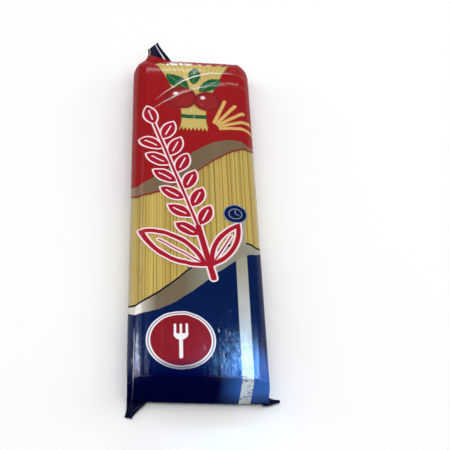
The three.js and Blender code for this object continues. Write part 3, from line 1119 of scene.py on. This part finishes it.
def pull(verts, root, bend):
    """Draw the film round a dog-ear's root some way towards its bend."""
    target = root.lerp(bend, PULL_TOWARDS)
    for vert in verts:
        away = (vert.co - root).length
        if away < 3 * PULL_REACH:
            share = math.exp(-((away / PULL_REACH) ** 2))
            vert.co += (target - vert.co) * (share * PULL_STRENGTH)


for root, bend, *_ in DOG_EARS.values():
    pull(film.verts, Vector(root), Vector(bend))

finish_piece("film", film, printed_film)

# %% [markdown]
# A dog-ear is a flat flap of doubled film. It is a small grid bent along a curve from its root on the
# pack to its tip, narrowing on the way, and the Solidify modifier gives it its thickness.

# %% Make the dog-ears
FLAP_COLUMNS, FLAP_ROWS, FLAP_THICKNESS = 16, 30, 0.9
FLAP_FOLD = 0.5


def curve_point(root, bend, tip, share):
    return root.lerp(bend, share).lerp(bend.lerp(tip, share), share)


def make_dog_ear(name, root, bend, tip, root_half, tip_half, material):
    root, bend, tip = Vector(root), Vector(bend), Vector(tip)
    flap = bmesh.new()
    flap.loops.layers.uv.new("flat")
    bmesh.ops.create_grid(flap, x_segments=FLAP_COLUMNS, y_segments=FLAP_ROWS, size=0.5, calc_uvs=True)
    for vert in flap.verts:
        across, along = 2 * vert.co.x, vert.co.y + 0.5
        half = Vector(root_half).lerp(Vector(tip_half), smooth(along))
        centre = curve_point(root, bend, tip, along)
        ahead = curve_point(root, bend, tip, along + 0.01) - centre
        up = half.cross(ahead).normalized()
        fold = FLAP_FOLD * math.cos(across * 4.2 + 2 * along) * smooth(along * 1.5)
        vert.co = centre + half * across + up * fold
    piece = finish_piece(name, flap, material)
    solidify = piece.modifiers.new("thickness", "SOLIDIFY")
    solidify.thickness = FLAP_THICKNESS * MM
    solidify.offset = 0


for name, shape in DOG_EARS.items():
    make_dog_ear(name, *shape, far_seal if name == "far_ear" else plain_seal)

# %% [markdown]
# The end seals are crimped between ribbed jaws and cut by toothed knives. Each is a grid whose rows rise
# and fall as ribs and whose last row follows the teeth. The operator thickens it, because its teeth and
# ribs are real relief.
# The near one lies folded under the pack, the far one hangs down behind it.

# %% Make the crimped end seals
SEAL_DEPTH, SEAL_THICKNESS, SEAL_ROWS = 13, 0.5, 66
TOOTH_PITCH, TOOTH_DEPTH, TOOTH_COLUMNS = 2.2, 0.9, 4
RIB_PITCH, RIB_HEIGHT, RIBS_FROM = 1.6, 0.14, 3
NEAR_SEAL_SPAN, FAR_SEAL_SPAN = (-31, 39), (-20, 33)
NEAR_SEAL_TUCK, FAR_SEAL_TUCK, FAR_SEAL_LAP = 1.6, 0.2, 1.2


def crimped_strip(left, right):
    """A flat seal in the plane z = 0, from y = 0 to its toothed edge at y = SEAL_DEPTH."""
    teeth = round((right - left) / TOOTH_PITCH)
    strip = bmesh.new()
    strip.loops.layers.uv.new("flat")
    columns = teeth * TOOTH_COLUMNS
    bmesh.ops.create_grid(strip, x_segments=columns, y_segments=SEAL_ROWS, size=0.5, calc_uvs=True)
    for vert in strip.verts:
        share = vert.co.x + 0.5
        tooth = abs(share * teeth % 1 - 0.5) * 2
        depth = SEAL_DEPTH - TOOTH_DEPTH * tooth
        y = (vert.co.y + 0.5) * depth
        rib = RIB_HEIGHT * math.cos(y / RIB_PITCH * 2 * math.pi) * smooth(y / RIBS_FROM)
        vert.co = Vector((mix(left, right, share), y, rib))
    return strip


def thicken(strip, thickness):
    bmesh.ops.solidify(strip, geom=strip.faces[:], thickness=thickness)
    bmesh.ops.recalc_face_normals(strip, faces=strip.faces)


def lay_down(strip, y):
    """Move a strip along the pack by y, and down or up until it touches the floor."""
    lowest = min(vert.co.z for vert in strip.verts)
    bmesh.ops.translate(strip, vec=(0, y, -lowest), verts=strip.verts)


near_seal = crimped_strip(*NEAR_SEAL_SPAN)
thicken(near_seal, SEAL_THICKNESS)
lay_down(near_seal, NEAR_SEAL_TUCK - HALF_LENGTH)
finish_piece("near_seal", near_seal, plain_seal)

far_seal_drop = FAR_SEAL_BASE + FAR_SEAL_LAP
far_strip = crimped_strip(*FAR_SEAL_SPAN)
thicken(far_strip, SEAL_THICKNESS)
for vert in far_strip.verts:
    z = far_seal_drop - vert.co.y * far_seal_drop / SEAL_DEPTH
    vert.co = Vector((vert.co.x, HALF_LENGTH - FAR_SEAL_TUCK + vert.co.z, z))
bmesh.ops.recalc_face_normals(far_strip, faces=far_strip.faces)
finish_piece("far_seal_strip", far_strip, plain_seal)

# %% [markdown]
# The back seam is a flat band of doubled film along the middle of the back. The pack rests on it.

# %% Make the back seam
SEAM_WIDTH, SEAM_THICKNESS, SEAM_RIB = 10, 0.55, 0.07
SEAM_LAP = 1.2
SEAM_COLUMNS, SEAM_ROWS = 20, 220

seam_start = NEAR_SEAL_TUCK - HALF_LENGTH + SEAL_DEPTH - SEAM_LAP
seam_end = HALF_LENGTH - FAR_TUCK + SEAM_LAP
seam = bmesh.new()
seam.loops.layers.uv.new("flat")
bmesh.ops.create_grid(seam, x_segments=SEAM_COLUMNS, y_segments=SEAM_ROWS, size=0.5, calc_uvs=True)
for vert in seam.verts:
    x = vert.co.x * SEAM_WIDTH
    y = mix(seam_start, seam_end, vert.co.y + 0.5)
    vert.co = Vector((x, y, SEAM_RIB * math.cos(y / RIB_PITCH * math.pi)))
thicken(seam, SEAM_THICKNESS)
lay_down(seam, 0)
finish_piece("back_seam", seam, plain_seal)

# %% [markdown]
# The pack lies on a plain pale floor, which is not part of it.

# %% The floor
FLOOR_SIZE = 12.0
floor_shape = bmesh.new()
bmesh.ops.create_grid(floor_shape, x_segments=1, y_segments=1, size=FLOOR_SIZE / 2)
floor_mesh = bpy.data.meshes.new("floor")
floor_shape.to_mesh(floor_mesh)
floor_shape.free()
floor = bpy.data.objects.new("floor", floor_mesh)
bpy.context.scene.collection.objects.link(floor)
floor_mesh.materials.append(Finish("pale_floor", base_color=(0.87, 0.87, 0.87, 1), roughness=0.7).material)

# %% [markdown]
# The camera stands at the near end and looks down on the pack by about 49 degrees, turned a little to
# the right and tilted a little, as somebody holds a phone over a table.

# %% The camera
CAMERA_ELEVATION, CAMERA_TURN, CAMERA_ROLL = (math.radians(value) for value in (48.93, 8.6, 8.64))
CAMERA_DISTANCE = 669.2
CAMERA_AIM = Vector((16.74, -22.17, 24))
FOCAL_LENGTH, SENSOR_WIDTH = 91.17, 36

level_share, down = math.cos(CAMERA_ELEVATION), -math.sin(CAMERA_ELEVATION)
forward = Vector((math.sin(CAMERA_TURN) * level_share, math.cos(CAMERA_TURN) * level_share, down))
level = Vector((math.cos(CAMERA_TURN), -math.sin(CAMERA_TURN), 0))
over = level.cross(forward)
right = level * math.cos(CAMERA_ROLL) + over * math.sin(CAMERA_ROLL)
upward = over * math.cos(CAMERA_ROLL) - level * math.sin(CAMERA_ROLL)

lens = bpy.data.cameras.new("camera")
lens.lens, lens.sensor_width = FOCAL_LENGTH, SENSOR_WIDTH
lens.clip_start = 0.01
camera = bpy.data.objects.new("camera", lens)
bpy.context.scene.collection.objects.link(camera)
stand = (CAMERA_AIM - forward * CAMERA_DISTANCE) * MM
turn = Matrix((right, upward, -forward)).transposed()
camera.matrix_world = Matrix.Translation(stand) @ turn.to_4x4()
bpy.context.scene.camera = camera
print("camera at", [round(part, 3) for part in stand])

# %% [markdown]
# The light is soft, from a large panel overhead and smaller ones at the left, the right and behind. None
# of them stands where the flat front would mirror it into the camera, so the print keeps its deep
# colours, and only the rounded edges and the creases catch a gleam.

# %% The lights


def add_lamp(name, data, place, direction):
    lamp = bpy.data.objects.new(name, data)
    lamp.location = place
    lamp.rotation_euler = direction.to_track_quat("-Z", "Y").to_euler()
    bpy.context.scene.collection.objects.link(lamp)


def softbox(name, place, aim, width, height, power):
    data = bpy.data.lights.new(name, "AREA")
    data.shape = "RECTANGLE"
    data.size, data.size_y = width, height
    data.energy = power
    add_lamp(name, data, place, Vector(aim) - Vector(place))


softbox("top_panel", (0, -0.35, 1.35), (0, 0, 0), 1.8, 1.4, 17)
softbox("left_panel", (-1.25, 0.3, 0.85), (0, 0, 0), 0.8, 1.1, 7)
softbox("right_panel", (1.25, 0.3, 0.85), (0, 0, 0), 0.8, 1.1, 8)
softbox("back_panel", (0.1, 1.5, 0.6), (0, 0.1, 0), 1.2, 0.11, 8)

# %% [markdown]
# Narrow spotlights make the gleams on the film: a row of bluish ones on the smooth patch at the right
# near corner, where the film curves, a paler one on the patch at the far edge, two soft warm ones on the
# rounded left edge beside the window, and two pale ones on that edge at the near end.
# A lamp has to stand where the film mirrors it into the camera. That follows from the film's tilt there,
# by the law of reflection.

# %% The gleams
GLEAM_AWAY, GLEAM_DEGREES = 0.5, 9
SHARP, SOFT = 0.02, 0.06
WINDOW_BLUE, PALE_VIOLET, WARM_WHITE = (0.2, 0.5, 1.0), (0.65, 0.74, 1.0), (1.0, 0.96, 0.88)
# The corner's gleams: the tilt of the film to the right, and the lamp's power.
CORNER_GLEAMS = ((-6, 0.5), (0, 1.0), (8, 1.0), (16, 0.8), (24, 0.6), (32, 0.6))


def gleam(name, spot, tilt_right, tilt_far, power, colour, radius=SHARP):
    """A spotlight that film at spot, tilted by these degrees, mirrors into the camera."""
    spot = Vector(spot) * MM
    to_camera = (stand - spot).normalized()
    tilted = Vector((math.sin(math.radians(tilt_right)), math.sin(math.radians(tilt_far)), 1)).normalized()
    towards = 2 * tilted.dot(to_camera) * tilted - to_camera
    data = bpy.data.lights.new(name, "SPOT")
    data.energy = power
    data.color = colour
    data.spot_size = math.radians(GLEAM_DEGREES)
    data.spot_blend = 1
    data.shadow_soft_size = radius
    add_lamp(name, data, spot + towards * GLEAM_AWAY, -towards)


for tilt_right, power in CORNER_GLEAMS:
    gleam(f"corner_gleam_{tilt_right + 6}", (26, -125, 22), tilt_right, 0, power, WINDOW_BLUE)
gleam("far_gleam", (-9, 122, 19.4), 0, 22, 0.4, PALE_VIOLET)
for place in (-74, -22):
    gleam(f"band_gleam_{place}", (-33, place, 21.5), -30, 0, 0.8, WARM_WHITE, SOFT)
gleam("edge_gleam", (-34.9, -114, 20), -42, 0, 1.4, PALE_VIOLET)
gleam("crinkle_gleam", (-29.5, -112, 22.3), -10.5, 0, 0.25, PALE_VIOLET)

# %% [markdown]
# A faint white world fills the shadows, as pale walls do, and the plain view transform keeps the colours
# as they were set.

# %% The world
WORLD_STRENGTH = 0.12
world = bpy.data.worlds.new("soft_room")
world.use_nodes = True
background = world.node_tree.nodes["Background"]
background.inputs["Color"].default_value = (1, 1, 1, 1)
background.inputs["Strength"].default_value = WORLD_STRENGTH
bpy.context.scene.world = world
bpy.context.scene.view_settings.view_transform = "Standard"
